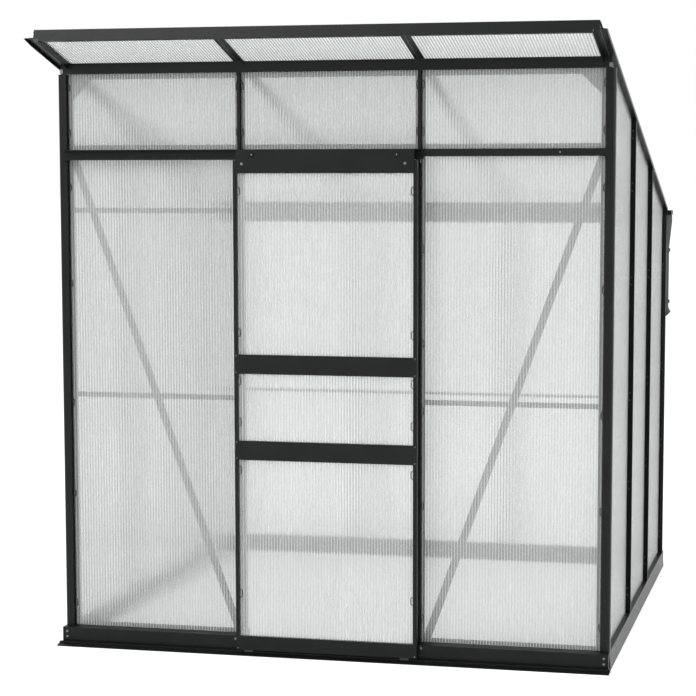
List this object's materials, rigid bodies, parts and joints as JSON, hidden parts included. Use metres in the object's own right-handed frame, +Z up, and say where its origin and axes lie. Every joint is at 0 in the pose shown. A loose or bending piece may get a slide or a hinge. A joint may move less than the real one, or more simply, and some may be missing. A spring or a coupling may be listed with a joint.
{
  "type": "pent-roof greenhouse",
  "caption": "Square greenhouse with a single-slope roof, a dark metal glazing-bar frame, translucent twin-wall sheets and a sliding door that opens to the left.",
  "frame": {"origin": "centre of the bounding box's bottom face, on the ground", "axes": "+X to the right when facing the door from outside, +Y from the front wall to the back wall, +Z up"},
  "size_m": [1.948, 2.271, 2.1088],
  "materials": {
    "frame_coating": "satin anthracite powder coat on aluminium and folded steel",
    "twin_wall_sheet": "clear twin-wall polycarbonate with fine vertical flutes",
    "pipe_plastic": "dark matt moulded plastic",
    "roller_steel": "plain zinc-plated"
  },
  "bodies": {
    "frame": {"base_front": "frame_coating", "base_back": "frame_coating", "base_left": "frame_coating", "base_right": "frame_coating", "door_sill": "frame_coating", "post_front_left": "frame_coating", "post_front_right": "frame_coating", "post_back_left": "frame_coating", "post_back_right": "frame_coating", "door_jamb_left": "frame_coating", "door_jamb_right": "frame_coating", "upper_bars": "frame_coating", "left_wall_bars": "frame_coating", "right_wall_bars": "frame_coating", "back_wall_bars": "frame_coating", "transom": "frame_coating", "door_track": "frame_coating", "front_top_rail": "frame_coating", "eaves_rail": "frame_coating", "verge_left": "frame_coating", "verge_right": "frame_coating", "roof_bars": "frame_coating", "fascia": "frame_coating", "front_braces": "frame_coating", "front_diagonals": "frame_coating", "corner_gussets": "frame_coating", "back_girt": "frame_coating", "gutter": "frame_coating", "downpipe": "pipe_plastic", "front_sheet_left": "twin_wall_sheet", "front_sheet_right": "twin_wall_sheet", "upper_sheets": "twin_wall_sheet", "left_wall_sheets": "twin_wall_sheet", "right_wall_sheets": "twin_wall_sheet", "back_wall_sheets": "twin_wall_sheet", "roof_sheets": "twin_wall_sheet"},
    "door": {"door_stile_left": "frame_coating", "door_stile_right": "frame_coating", "door_header": "frame_coating", "door_middle_rails": "frame_coating", "door_bottom_rail": "frame_coating", "door_sheets": "twin_wall_sheet", "door_rollers": "roller_steel", "door_guides": "pipe_plastic"}
  },
  "joints": [
    {"name": "door_slide", "type": "slide", "parent": "frame", "child": "door", "axis": [-1, 0, 0], "range_m": [0, 0.59]}
  ]
}
